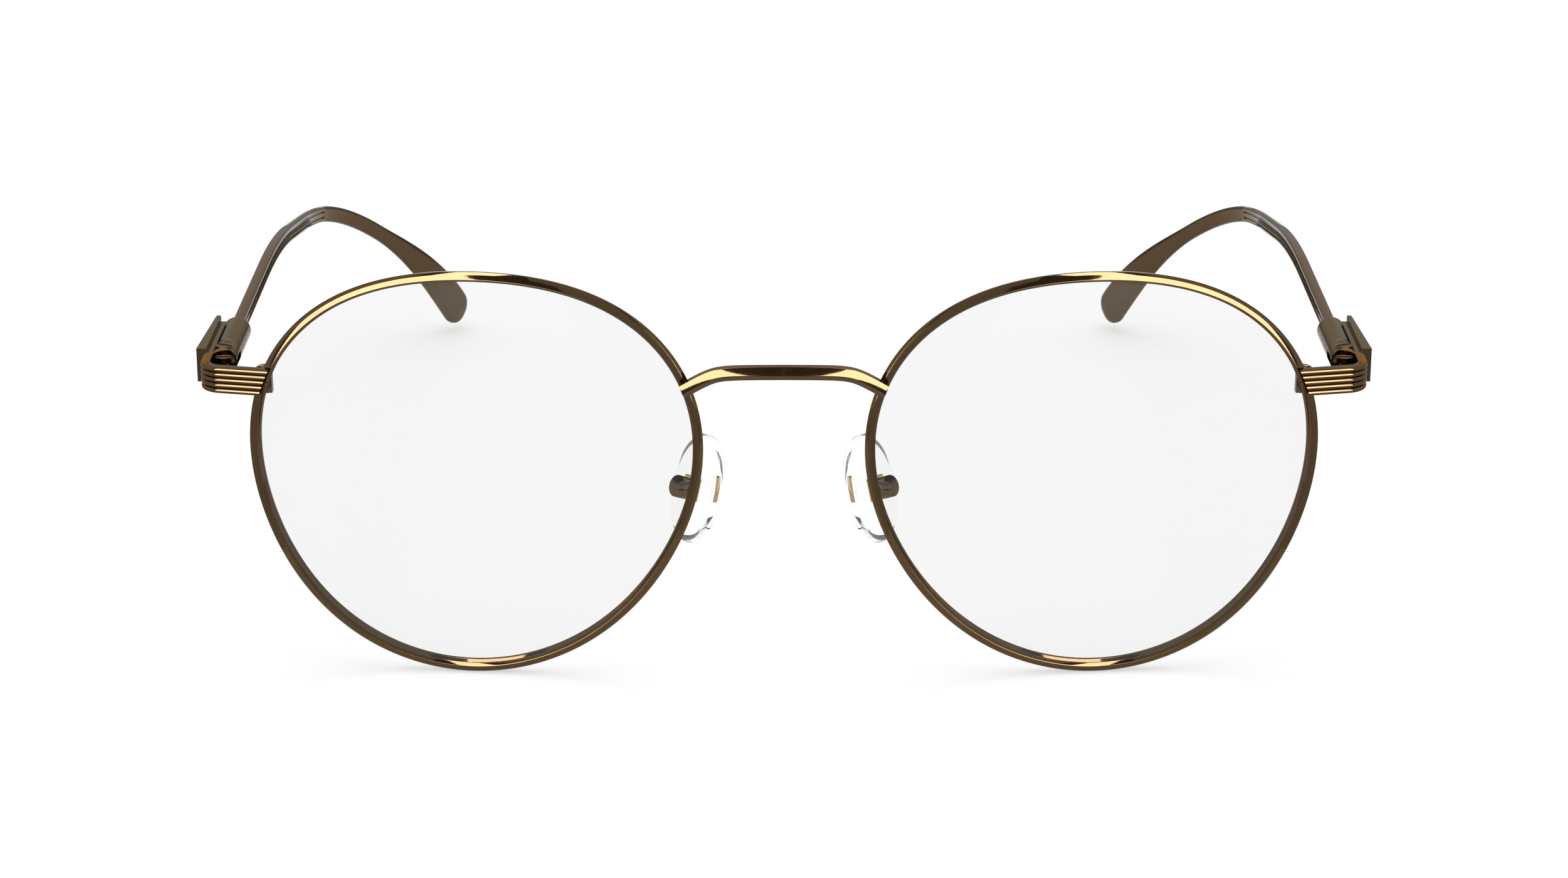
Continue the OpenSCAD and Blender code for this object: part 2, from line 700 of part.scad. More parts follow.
insert_thick = 0.6;
insert_w = 2.6;
insert_len = 2.7;
insert_x = -pad_thick / 2 + insert_thick / 2;
module pad_insert() color(gold) pad_frame() difference() {
    union() {
        translate([insert_x, 0, 0]) cube([insert_thick, insert_w, insert_len], center = true);
        translate([pivot_x, -tab_thick / 2, -tab_r]) cube([insert_x - pivot_x, tab_thick, 2 * tab_r]);
        translate([pivot_x, 0, 0]) along_y() cylinder(r = tab_r, h = tab_thick, center = true);
    }
    translate([pivot_x, 0, 0]) along_y() cylinder(d = pad_screw_d + 2 * pin_play, h = box_d, center = true);
}

pad_sides = 24;
pad_rings = 10;
pad_dome = 0.55;
pad_square = 0.9;
function pad_ring(i) = let (
    a = 180 * i / pad_rings,
    wide = pow(sin(a), pad_dome),
    deep = -cos(a) * pad_thick / 2)
    [for (k = [0:pad_sides - 1]) let (b = 360 * k / pad_sides)
        [
            deep,
            -wide * pad_w / 2 * signed_power(sin(b), pad_square),
            wide * pad_len / 2 * signed_power(cos(b), pad_square)
        ]];

module nose_pad() color(clear) difference() {
    pad_frame() pointed_loft(
        [-pad_thick / 2, 0, 0],
        [for (i = [1:pad_rings - 1]) pad_ring(i)],
        [pad_thick / 2, 0, 0]
    );
    pad_insert();
}

pocket_floor = tab_r + 2 * tab_play;
pocket_half = tab_r + box_front * tan(box_lean + pad_rock) + 2 * tab_play;
pad_head_tall = 0.3;
module pad_box() color(bronze) box_frame() difference() {
    translate([-box_rear, 0, 0]) along_x() cylinder(d = box_d, h = box_rear + box_front);
    translate([-pocket_floor, -tab_thick / 2 - tab_play, -pocket_half])
        cube([pocket_floor + box_front + nip, tab_thick + 2 * tab_play, 2 * pocket_half]);
    along_y() cylinder(d = pad_screw_d, h = 2 * box_d, center = true);
    translate([0, -box_d, 0]) along_y() cylinder(d = pad_head_d, h = box_d / 2 + pad_head_tall);
}

module pad_screw() color(dark_bronze) box_frame() {
    translate([0, -box_d / 2 + pad_head_tall, 0]) along_y()
        cylinder(d = pad_screw_d, h = box_d - 2 * pad_head_tall);
    translate([0, -box_d / 2 + pad_head_tall, 0]) rotate([90, 0, 0]) slotted_head(pad_head_d, pad_head_tall);
}

// World place of a point given in the pad's frame
function leaned(p) = [
    p.x * cos(pad_lean) + p.z * sin(pad_lean),
    p.y,
    p.z * cos(pad_lean) - p.x * sin(pad_lean)
];
function splayed(p) = let (a = 180 - pad_splay) [
    p.x * cos(a) - p.y * sin(a),
    p.x * sin(a) + p.y * cos(a),
    p.z
];
pivot_at = pad_at + splayed(leaned([pivot_x, 0, 0]));
arm_angle = lookup(arm_join, nose_heights);
arm_foot = rim_point(arm_angle, rim_middle, rim_d / 2 - nip);
arm_reach = 2;
arm_tail = 1.3;
arm_curve = [
    arm_foot,
    arm_foot + [0, arm_reach, 0],
    pivot_at + splayed(leaned([-arm_tail, 0, 0])),
    pivot_at
];
function arm_at(u) = pow(1 - u, 3) * arm_curve[0] + 3 * u * pow(1 - u, 2) * arm_curve[1]
    + 3 * u * u * (1 - u) * arm_curve[2] + pow(u, 3) * arm_curve[3];
arm_steps = 16;
arm_sides = 12;
function arm_ring(u) = let (
    along = unit(arm_at(u + small_step) - arm_at(u - small_step)),
    side = unit(cross(along, [1, 0, 0])),
    up = cross(along, side))
    [for (k = [0:arm_sides - 1]) let (a = 360 * k / arm_sides)
        arm_at(u) + arm_d / 2 * (sin(a) * up + cos(a) * side)];

module pad_arm() color(bronze) difference() {
    loft([for (i = [0:arm_steps]) arm_ring(i / arm_steps)]);
    rim_seat(arm_angle);
    box_frame() translate([-box_rear, 0, 0]) along_x() cylinder(d = box_d, h = box_rear + box_front);
}

// The origin lies on the floor under the middle of the frame's length
front_end = bridge_y - bridge_bow - bridge_deep / 2;
rear_end = path_points[path_steps].y + tip_cap / 2;
stand_y = (front_end + rear_end) / 2;
module left() translate([0, -stand_y, 0]) children();
module right() mirrored() left() children();

left() rim();  // rim_left
right() rim();  // rim_right
left() lens();  // lens_left
right() lens();  // lens_right
left() bridge();
left() end_piece();  // end_piece_left
right() end_piece();  // end_piece_right
left() closing_block_upper();  // closing_block_upper_left
right() closing_block_upper();  // closing_block_upper_right
left() closing_block_lower();  // closing_block_lower_left
right() closing_block_lower();  // closing_block_lower_right
left() closing_screw();  // closing_screw_left
right() closing_screw();  // closing_screw_right
left() hinge_block();  // hinge_block_left
right() hinge_block();  // hinge_block_right
left() hinge_screw();  // hinge_screw_left
right() hinge_screw();  // hinge_screw_right
left() temple_housing();  // temple_housing_left
right() temple_housing();  // temple_housing_right
left() temple_bar();  // temple_bar_left
right() temple_bar();  // temple_bar_right
left() temple_tip();  // temple_tip_left
right() temple_tip();  // temple_tip_right
left() pad_arm();  // pad_arm_left
right() pad_arm();  // pad_arm_right
left() pad_box();  // pad_box_left
right() pad_box();  // pad_box_right
left() pad_screw();  // pad_screw_left
right() pad_screw();  // pad_screw_right
left() pad_insert();  // pad_insert_left
right() pad_insert();  // pad_insert_right
left() nose_pad();  // nose_pad_left
right() nose_pad();  // nose_pad_right
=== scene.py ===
# %% [markdown]
# # A round metal eyeglasses frame
# This lesson dresses a set of measured solids as a finished pair of eyeglasses. The solids give every
# place and size. They are made of flat facets, though, and polished metal shows each facet as a kink in
# its reflections, so most pieces are drawn again here as smooth sweeps of the same sections along the same
# curves.

# %% Load the solids
import json
import math

import bmesh
import bpy
import numpy as np
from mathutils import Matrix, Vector


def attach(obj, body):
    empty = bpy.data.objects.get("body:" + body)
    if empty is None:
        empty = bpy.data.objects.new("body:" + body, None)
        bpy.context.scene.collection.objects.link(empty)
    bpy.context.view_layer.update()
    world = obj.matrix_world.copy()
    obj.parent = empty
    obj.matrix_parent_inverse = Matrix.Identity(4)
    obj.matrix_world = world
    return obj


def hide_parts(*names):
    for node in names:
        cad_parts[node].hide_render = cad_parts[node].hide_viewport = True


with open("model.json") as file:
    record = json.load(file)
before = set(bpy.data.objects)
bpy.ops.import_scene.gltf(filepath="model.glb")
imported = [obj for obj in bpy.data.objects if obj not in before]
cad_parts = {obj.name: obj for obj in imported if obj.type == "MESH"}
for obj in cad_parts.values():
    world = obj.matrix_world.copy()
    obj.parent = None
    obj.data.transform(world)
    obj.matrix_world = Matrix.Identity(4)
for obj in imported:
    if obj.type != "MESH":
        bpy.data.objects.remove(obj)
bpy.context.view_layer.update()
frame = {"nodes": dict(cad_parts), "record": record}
print("solids loaded:", len(frame["nodes"]))

# %% [markdown]
# ## The camera
# The photograph looks at the front of the frame from a little above. A long lens keeps the two rims nearly
# round, and the temples shrink only slightly behind them. The camera aims at a point between the lenses,
# and its distance follows from how much narrower the far ends of the temples look than the front.

# %% Camera
MM = 0.001
front_y = -69.3972 * MM
aim_height = 30.115 * MM
aim = Vector((0.0, front_y, aim_height))
camera_away = 450 * MM
camera_elevation = math.radians(19)

camera_data = bpy.data.cameras.new("photo_camera")
camera_data.sensor_width = 36.0
camera_data.lens = 90.26
camera_data.clip_start = 0.01
camera = bpy.data.objects.new("photo_camera", camera_data)
bpy.context.scene.collection.objects.link(camera)
camera.location = aim + camera_away * Vector((0.0, -math.cos(camera_elevation), math.sin(camera_elevation)))
camera.rotation_euler = (math.pi / 2 - camera_elevation, 0.0, 0.0)
bpy.context.scene.camera = camera
bpy.context.scene.view_settings.view_transform = "Standard"
print("camera at", [round(value, 3) for value in camera.location])

# %% [markdown]
# ## Colours and nodes
# Colours are written as sRGB hex values, the way a colour picker shows them. Shaders work in linear light,
# so one function converts them. Another adds a node, sets it up and links it, and every material below is
# made with it.

# %% Colour and node helpers
def linear(hex_code):
    """Linear RGBA of an sRGB colour such as 6B5A48."""
    channels = [int(hex_code[i:i + 2], 16) / 255 for i in (0, 2, 4)]
    return [c / 12.92 if c <= 0.04045 else ((c + 0.055) / 1.055) ** 2.4 for c in channels] + [1.0]


def add_node(tree, kind, settings=None, inputs=None):
    """Adds a node, sets its properties, and sets or links its inputs."""
    node = tree.nodes.new(kind)
    for name, value in (settings or {}).items():
        setattr(node, name, value)
    for name, value in (inputs or {}).items():
        if isinstance(value, bpy.types.NodeSocket):
            tree.links.new(value, node.inputs[name])
        else:
            node.inputs[name].default_value = value
    return node


def new_material(name):
    """An empty material and its node tree."""
    material = bpy.data.materials.new(name)
    material.use_nodes = True
    material.node_tree.nodes.clear()
    return material, material.node_tree


def per_mm(size):
    """Texture scale at which a pattern's features are about this many millimetres across."""
    return 1.0 / (size * MM)


# %% [markdown]
# ## Antique-bronze plating
# The rims, bridge, hinges and temples are nickel silver, polished and plated in antique bronze. Plating is
# a mirror with its own colour: where it reflects something white it shows that colour, and where it
# reflects a dark wall it is nearly black. Bronze keeps its brown towards grazing angles, so its edge tint
# is held back from white. Polishing leaves faint buffing lines, and the plating is a touch uneven, so the
# colour, the roughness and a very shallow bump all vary a little.

# %% Plated metal
def plated_metal(name, light, dark, polish, buffing_mm):
    """Polished plating: two near colours, a roughness range and buffing lines of a given spacing."""
    material, tree = new_material(name)
    place = add_node(tree, "ShaderNodeTexCoord")
    cloud = add_node(tree, "ShaderNodeTexNoise", {}, {
        "Vector": place.outputs["Object"], "Scale": per_mm(6), "Detail": 3.0})
    stretch = add_node(tree, "ShaderNodeMapping", {}, {
        "Vector": place.outputs["Object"], "Scale": (1.0, 0.12, 1.0)})
    buffing = add_node(tree, "ShaderNodeTexNoise", {}, {
        "Vector": stretch.outputs["Vector"], "Scale": per_mm(buffing_mm), "Detail": 2.0})
    colour = add_node(tree, "ShaderNodeMix", {"data_type": "RGBA"}, {
        "Factor": cloud.outputs["Fac"], "A": linear(dark), "B": linear(light)})
    rough = add_node(tree, "ShaderNodeMapRange", {}, {
        "Value": buffing.outputs["Fac"], "From Min": 0.3, "From Max": 0.7,
        "To Min": polish[0], "To Max": polish[1]})
    bump = add_node(tree, "ShaderNodeBump", {}, {
        "Height": buffing.outputs["Fac"], "Strength": 0.05, "Distance": 0.01 * MM})
    shader = add_node(tree, "ShaderNodeBsdfPrincipled", {}, {
        "Base Color": colour.outputs["Result"], "Metallic": 1.0, "Roughness": rough.outputs["Result"],
        "Specular Tint": linear("D6D1CB"), "Normal": bump.outputs["Normal"]})
    add_node(tree, "ShaderNodeOutputMaterial", {}, {"Surface": shader.outputs["BSDF"]})
    return material


bronze = plated_metal("polished_antique_bronze_plating", "5B4A34", "53422D", (0.03, 0.07), 0.25)
light_bronze = plated_metal("polished_light_bronze_plating", "B8996C", "AC8D60", (0.06, 0.12), 0.25)
screw_bronze = plated_metal("bronze_plated_steel_screws", "5C4A38", "514030", (0.12, 0.22), 0.15)
print("metals:", bronze.name, light_bronze.name, screw_bronze.name)

# %% [markdown]
# ## Clear lenses, silicone and acetate
# The lenses are clear plastic with an anti-reflection coating, so they barely mirror the room and only
# grey the white behind them a little. Both faces have the same curve, so a lens hardly bends light either,
# and each face is drawn as a faint grey film that lets most of the light straight through. The nose pads
# are moulded silicone: water-clear, and visible by how they bend light at their edges. The tips are
# cellulose acetate, dyed brown with fine bronze pigment and tumbled to a gloss, so they mirror the room in
# their own brown, almost as the plating does.

# %% Clear and moulded materials
def coated_lens(name):
    """Clear lens plastic with an anti-reflection coating."""
    material, tree = new_material(name)
    place = add_node(tree, "ShaderNodeTexCoord")
    smear = add_node(tree, "ShaderNodeTexNoise", {}, {
        "Vector": place.outputs["Object"], "Scale": per_mm(12), "Detail": 2.0})
    rough = add_node(tree, "ShaderNodeMapRange", {}, {
        "Value": smear.outputs["Fac"], "To Min": 0.0, "To Max": 0.012})
    shader = add_node(tree, "ShaderNodeBsdfPrincipled", {}, {
        "Base Color": linear("A8A8A8"), "Roughness": rough.outputs["Result"], "IOR": 1.5,
        "Specular IOR Level": 0.1, "Alpha": 0.073})
    add_node(tree, "ShaderNodeOutputMaterial", {}, {"Surface": shader.outputs["BSDF"]})
    return material


def moulded_silicone(name):
    """Water-clear silicone with a slightly uneven moulded skin."""
    material, tree = new_material(name)
    place = add_node(tree, "ShaderNodeTexCoord")
    skin = add_node(tree, "ShaderNodeTexNoise", {}, {
        "Vector": place.outputs["Object"], "Scale": per_mm(1.5), "Detail": 2.0})
    bump = add_node(tree, "ShaderNodeBump", {}, {
        "Height": skin.outputs["Fac"], "Strength": 0.1, "Distance": 0.05 * MM})
    shader = add_node(tree, "ShaderNodeBsdfPrincipled", {}, {
        "Base Color": linear("FCFDFD"), "Roughness": 0.02, "IOR": 1.3, "Transmission Weight": 1.0,
        "Normal": bump.outputs["Normal"]})
    add_node(tree, "ShaderNodeOutputMaterial", {}, {"Surface": shader.outputs["BSDF"]})
    return material


def tumbled_acetate(name):
    """Brown acetate with a pearl of fine bronze pigment, glossy from tumbling, with soft swirls of dye."""
    material, tree = new_material(name)
    place = add_node(tree, "ShaderNodeTexCoord")
    swirl = add_node(tree, "ShaderNodeTexNoise", {}, {
        "Vector": place.outputs["Object"], "Scale": per_mm(9), "Detail": 4.0, "Distortion": 1.5})
    colour = add_node(tree, "ShaderNodeMix", {"data_type": "RGBA"}, {
        "Factor": swirl.outputs["Fac"], "A": linear("513F2A"), "B": linear("5A4833")})
    grain = add_node(tree, "ShaderNodeTexNoise", {}, {
        "Vector": place.outputs["Object"], "Scale": per_mm(0.6), "Detail": 2.0})
    rough = add_node(tree, "ShaderNodeMapRange", {}, {
        "Value": grain.outputs["Fac"], "To Min": 0.1, "To Max": 0.2})
    shader = add_node(tree, "ShaderNodeBsdfPrincipled", {}, {
        "Base Color": colour.outputs["Result"], "Metallic": 0.85, "Roughness": rough.outputs["Result"],
        "Specular Tint": linear("C2BBB4")})
    add_node(tree, "ShaderNodeOutputMaterial", {}, {"Surface": shader.outputs["BSDF"]})
    return material


finishes = {
    "bronze_plating": bronze,
    "gold_plating": light_bronze,
    "screw_plating": screw_bronze,
    "clear_lens": coated_lens("coated_clear_lens_plastic"),
    "clear_silicone": moulded_silicone("moulded_clear_silicone"),
    "brown_acetate": tumbled_acetate("tumbled_brown_acetate"),
}
node_slots = {part["node"]: part["material_slot"] for part in frame["record"]["subparts"]}
print("finishes:", sorted(finishes))

# %% [markdown]
# ## From points to pieces
# A swept piece is a row of rings: the same number of points round each, and faces between neighbouring
# rings. The frame is the same on both sides, so each piece is drawn once for the wearer's left and
# mirrored for the right. A piece then rides on the body that its solid belongs to, stands in for that
# solid, and takes its finish.

# %% Mesh helpers
SIDES = {"left": 1.0, "right": -1.0}
node_body = {node: body for body, nodes in frame["record"]["behaviour"]["bodies"].items() for node in nodes}


def to_scene(points):
    """Points in millimetres, measured from the front plane, as metres in the object's frame."""
    return np.asarray(points, float).reshape(-1, 3) * MM + (0.0, front_y, 0.0)


def ring_faces(rings, around):
    """Quads between neighbouring rings, and a cap on the first and the last."""
    faces = []
    for i in range(rings - 1):
        for j in range(around):
            k = (j + 1) % around
            faces.append((i * around + j, i * around + k, (i + 1) * around + k, (i + 1) * around + j))
    faces.append(tuple(range(around)))
    faces.append(tuple(range((rings - 1) * around, rings * around)))
    return faces


def new_object(name, points, faces):
    """A mesh object with its faces turned outwards."""
    mesh = bpy.data.meshes.new(name)
    mesh.from_pydata([tuple(p) for p in points], [], faces)
    shell = bmesh.new()
    shell.from_mesh(mesh)
    bmesh.ops.recalc_face_normals(shell, faces=shell.faces)
    shell.to_mesh(mesh)
    shell.free()
    made = bpy.data.objects.new(name, mesh)
    bpy.context.scene.collection.objects.link(made)
    return made


def bake_modifiers(piece):
    """Replaces a piece's mesh with the result of its modifiers."""
    bpy.context.view_layer.update()
    result = bpy.data.meshes.new_from_object(piece.evaluated_get(bpy.context.evaluated_depsgraph_get()))
    piece.modifiers.clear()
    piece.data = result


def cut_away(piece, points, faces):
    """Cuts the space inside a closed shell out of a piece."""
    cutter = new_object("cutter", points, faces)
    cut = piece.modifiers.new("cut", "BOOLEAN")
    cut.operation = "DIFFERENCE"
    cut.solver = "EXACT"
    cut.object = cutter
    bake_modifiers(piece)
    bpy.data.objects.remove(cutter)


def finish_piece(piece, node, sharp_degrees=40):
    """Smooth shading, the finish of the solid's slot, and the place of the solid on its body."""
    piece.data.shade_smooth()
    if sharp_degrees is not None:
        piece.data.set_sharp_from_angle(angle=math.radians(sharp_degrees))
    piece.data.materials.clear()
    piece.data.materials.append(finishes[node_slots[node]])
    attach(piece, node_body[node])
    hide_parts(node)
    return piece


def add_pair(name, points, faces, suffix, sharp_degrees=40, cutter=None):
    """A piece on the wearer's left and its mirror image on the right."""
    pair = []
    for side, sign in SIDES.items():
        mirror = np.array([sign, 1.0, 1.0])
        piece = new_object(f"{name}_{side}_{suffix}", to_scene(points) * mirror, faces)
        if cutter is not None:
            cut_away(piece, to_scene(cutter[0]) * mirror, cutter[1])
        pair.append(finish_piece(piece, f"{name}_{side}", sharp_degrees))
    print(name, "pair:", len(pair[0].data.polygons), "faces each")
    return pair


# %% [markdown]
# ## The lens outline
# Both rims and both lenses follow one outline: a circle with three gentle waves, stretched to the lens's
# width and height. The waves make it fuller at its upper shoulders and lean it a little towards the lower
# temple side. It lies on a shallow dome, and each side is tilted and turned a little, as the front of a
# real frame is.

# %% Outline of a lens
lens_w, lens_h, lens_gap = 50.9, 48.2, 20.4
crown, crown_turn = 0.036, math.radians(11)
slant, cheek = 0.011, 0.007
dome_radius = 120.0
face_form, front_tilt = math.radians(4), math.radians(3)
rim_w, rim_d, rim_lip = 1.2, 1.8, 0.35
groove_depth, groove_w = 0.55, 0.9
rim_reach = rim_w - rim_lip
rim_middle = rim_w / 2 - rim_lip


def wave(t):
    """The unstretched outline; angle 0 points to the temple, a right angle up."""
    fullness = 1 + crown * np.sin(3 * t - crown_turn) - slant * np.sin(2 * t) - cheek * np.cos(4 * t)
    return fullness[..., None] * np.stack([np.cos(t), np.sin(t)], axis=-1)


full_turn = wave(np.radians(np.arange(360)))
wave_low, wave_high = full_turn.min(axis=0), full_turn.max(axis=0)


def outline(t):
    """Points on the outline of a lens, about its middle."""
    return (wave(t) - (wave_low + wave_high) / 2) / (wave_high - wave_low) * (lens_w, lens_h)


def edge(t, out):
    """Points on the outline, moved outwards."""
    step = 1e-4
    along = outline(t + step) - outline(t - step)
    normal = np.stack([along[..., 1], -along[..., 0]], axis=-1)
    normal /= np.linalg.norm(normal, axis=-1, keepdims=True)
    return outline(t) + np.asarray(out)[..., None] * normal


def sag(flat):
    """How far the dome falls back at a point beside its middle."""
    return dome_radius - np.sqrt(dome_radius ** 2 - np.sum(flat ** 2, axis=-1))


tilt = np.array([
    [1, 0, 0],
    [0, math.cos(front_tilt), -math.sin(front_tilt)],
    [0, math.sin(front_tilt), math.cos(front_tilt)]])
turn = np.array([
    [math.cos(face_form), -math.sin(face_form), 0],
    [math.sin(face_form), math.cos(face_form), 0],
    [0, 0, 1]])
top_sag = sag(np.array([0.0, lens_h / 2]))
lens_middle = np.array([
    (lens_gap + lens_w) / 2,
    0.0,
    (lens_h / 2 + rim_reach) * math.cos(front_tilt) - (top_sag - rim_d / 2) * math.sin(front_tilt)])


def in_front(across, deep, up):
    """Points given in the lens's own frame, in the frame of the whole front."""
    local = np.stack(np.broadcast_arrays(across, deep, up), axis=-1)
    return local @ (turn @ tilt).T + lens_middle


def rim_point(t, out, deep):
    """Points beside the outline: moved outwards and back from the dome."""
    flat = edge(t, out)
    return in_front(flat[..., 0], sag(outline(t)) + deep, flat[..., 1])


temple_side = np.radians(np.arange(-80, 81, 2))
nose_side = np.radians(np.arange(260, 99, -2))


def angle_at(height, side):
    """Angle on one side of the outline at a height above the lens's middle."""
    return np.float64(np.interp(height, outline(side)[:, 1], side))


def opening(grown, deep=12.0, sides=180):
    """Closed prism through a rim's opening, grown outwards."""
    t = np.linspace(0, 2 * math.pi, sides, endpoint=False)
    flat = edge(t, grown - rim_lip)
    rings = [in_front(flat[:, 0], y, flat[:, 1]) for y in (-deep, deep)]
    return np.concatenate(rings), ring_faces(2, sides)


print("lens middle:", lens_middle.round(2), "mm")

# %% [markdown]
# ## Rims
# A rim is drawn wire, rolled round the lens with a groove on its inside and open at the temple, where the
# closing block draws its ends together to a hairline. The wire's front is a flat facet that slopes
# outwards, with a bevel on each side of it. Polishing eases every corner, and each eased corner draws a
# fine line of light, so the section below rounds the corners of a polygon.

# %% Rims
rim_gap = 0.08
band_join = 11.0
band_angle = angle_at(band_join, temple_side)
rim_ridge, rim_slope, rim_taper = 0.34, 0.214, 0.35
rim_bevel, rim_edge, rim_soft = 0.405, 0.33, 0.1
rim_easing, rim_stations = 0.07, 361


def signed_power(value, power):
    """A power that keeps the sign, for rounded squares."""
    return np.sign(value) * np.abs(value) ** power


def softened(corners, reach, steps=6):
    """A section's corners, each eased into a short curve that starts a given distance from the corner."""
    corners = np.asarray(corners, float)
    share = np.linspace(0.0, 1.0, steps)[:, None]
    curves = []
    for i, corner in enumerate(corners):
        ends = []
        for neighbour in (corners[i - 1], corners[(i + 1) % len(corners)]):
            span = neighbour - corner
            ends.append(corner + span * min(reach / np.linalg.norm(span), 0.45))
        curves.append((1 - share) ** 2 * ends[0] + 2 * share * (1 - share) * corner + share ** 2 * ends[1])
    return np.concatenate(curves)


rim_section = softened([
    (0.0, -rim_d / 2 + rim_bevel), (rim_ridge, -rim_d / 2),
    (rim_w - rim_edge, -rim_d / 2 + rim_slope), (rim_w, -rim_d / 2 + rim_slope + rim_edge),
    (rim_w - rim_taper, rim_d / 2 - rim_soft), (rim_w - rim_taper - rim_soft, rim_d / 2),
    (rim_soft, rim_d / 2), (0.0, rim_d / 2 - rim_soft),
    (0.0, groove_w / 2), (groove_depth, 0.0), (0.0, -groove_w / 2)], rim_easing)
half_gap = rim_gap / 2 / np.linalg.norm(outline(band_angle))
rim_angles = np.linspace(band_angle + half_gap, band_angle + 2 * math.pi - half_gap, rim_stations)
rim_rings = [rim_point(np.full(len(rim_section), t), rim_section[:, 0] - rim_lip, rim_section[:, 1])
             for t in rim_angles]
add_pair("rim", np.concatenate(rim_rings), ring_faces(len(rim_rings), len(rim_section)), "wire")

# %% [markdown]
# ## Lenses
# Each lens is a thin dome with the same curve on both faces, cut to the outline and bevelled to sit in the
# groove.

# %% Lenses
lens_half = 0.7
lens_play = 0.02
lens_shoulder = groove_w / 2 - lens_play / 2
lens_t = np.linspace(0, 2 * math.pi, 180, endpoint=False)
shares = np.array([0.02, 0.2, 0.4, 0.6, 0.8, 0.92, 1.0])


def lens_ring(share, deep):
    """A ring of a lens's face: a share of the way out to its edge."""
    flat = share * edge(lens_t, -rim_lip - lens_play)
    return in_front(flat[:, 0], sag(flat) + deep, flat[:, 1])


lens_rings = [lens_ring(share, -lens_half) for share in shares]
lens_rings += [lens_ring(1.0, -lens_shoulder), rim_point(lens_t, 0.0, 0.0), lens_ring(1.0, lens_shoulder)]
lens_rings += [lens_ring(share, lens_half) for share in shares[::-1]]
lenses = add_pair("lens", np.concatenate(lens_rings), ring_faces(len(lens_rings), len(lens_t)), "clear")
for lens in lenses:
    lens.visible_shadow = False

# %% [markdown]
# ## Bridge
# The bridge is a bar with a flat top, a front that leans back slightly and a wide bevel under it, bent
# down at both shoulders. It is soldered over the front of both rims, and its ends are cut along the rims'
# inner edges, so a boolean cut with the rims' openings gives its slanted ends.

# %% Bridge
bridge_join, bridge_bare = 11.2, 0.25
bridge_flat, bridge_slope, bridge_soft = 8.0, math.radians(33), 1.6
bridge_tall, bridge_deep = 1.65, 1.4
bridge_bow, bridge_seat, bridge_overlap = 0.5, 0.35, 1.0
bridge_easing, bridge_stations = 0.1, 201
bridge_angle = angle_at(bridge_join, nose_side)
bridge_foot = rim_point(bridge_angle, rim_middle, -rim_d / 2)
bridge_half = rim_point(bridge_angle, -rim_lip, 0.0)[0] + bridge_overlap
bridge_y = bridge_foot[1] + bridge_seat - bridge_deep / 2


def bridge_fall(x):
    """How far the bridge has dropped at a distance from its middle."""
    past = np.abs(x) - bridge_flat
    return math.tan(bridge_slope) * (past + np.hypot(past, bridge_soft)) / 2


def bridge_point(x):
    """The middle of the bar at a place across the frame."""
    return np.stack([
        x,
        bridge_y - bridge_bow * (1 - (x / bridge_foot[0]) ** 2),
        bridge_foot[2] + bridge_fall(bridge_foot[0]) - bridge_fall(x)], axis=-1)


front_lean, front_ridge, under_bevel, back_bevel = 0.18, 0.2, 0.45, 0.2
bridge_top, bridge_front = bridge_tall / 2, bridge_deep / 2
bridge_section = softened([
    (bridge_top, bridge_front - front_lean), (-front_ridge, bridge_front),
    (-bridge_top, bridge_front - under_bevel), (-bridge_top, -bridge_front + back_bevel),
    (-bridge_top + back_bevel, -bridge_front), (bridge_top - back_bevel, -bridge_front),
    (bridge_top, -bridge_front + back_bevel)], bridge_easing)
bridge_x = np.linspace(-bridge_half, bridge_half, bridge_stations)
nudge = 1e-3
bridge_rings = []
for x in bridge_x:
    along = bridge_point(x + nudge) - bridge_point(x - nudge)
    along /= np.linalg.norm(along)
    up = np.cross(along, (0, 1, 0))
    up /= np.linalg.norm(up)
    out = np.cross(along, up)
    bridge_rings.append(bridge_point(x) + bridge_section[:, :1] * up + bridge_section[:, 1:] * out)
bridge = new_object("bridge_bar", to_scene(bridge_rings), ring_faces(len(bridge_x), len(bridge_section)))
hole_points, hole_faces = opening(rim_w * bridge_bare)
for sign in SIDES.values():
    cut_away(bridge, to_scene(hole_points) * (sign, 1.0, 1.0), hole_faces)
finish_piece(bridge, "bridge")
print("bridge:", len(bridge.data.polygons), "faces")

# %% [markdown]
# ## End pieces
# From each rim a ribbed band runs outwards, bends back through most of a right angle and enters the open
# front of the hinge tube. Its five ribs are one profile, swept along a straight, an arc and a short
# straight. The rim's inner edge stays bare, so the band is cut along the opening, grown by part of the
# rim's width.

# %% End pieces
rib_count, rib_pitch, rib_crest = 5, 0.63, 0.3
band_thick, band_bend, band_lead = 0.8, 1.8, 1.0
band_sweep = math.radians(12)
band_seat, rim_bare = 0.25, 0.45
hinge_out, tube_d, tube_wall = 2.9, 3.3, 0.3
band_rim = rim_point(band_angle, rim_middle, -rim_d / 2)
hinge_x = lens_middle[0] + lens_w / 2 + rim_reach + hinge_out
bend_x = hinge_x + tube_d / 2 - tube_wall - band_bend
band_run = (bend_x - band_rim[0] + band_bend * math.sin(band_sweep)) / math.cos(band_sweep)
bend_y = band_rim[1] + band_seat + band_run * math.sin(band_sweep) + band_bend * math.cos(band_sweep)

band_tall = rib_count * rib_pitch
crest = np.radians(np.arange(-90, 90, 15))
profile = [(0.0, band_tall / 2), (0.0, -band_tall / 2)]
for i in range(rib_count):
    middle = (i - (rib_count - 1) / 2) * rib_pitch
    profile += [(band_thick + rib_crest * math.cos(a), middle + rib_pitch / 2 * math.sin(a)) for a in crest]
profile.append((band_thick, band_tall / 2))
profile = np.array(profile)


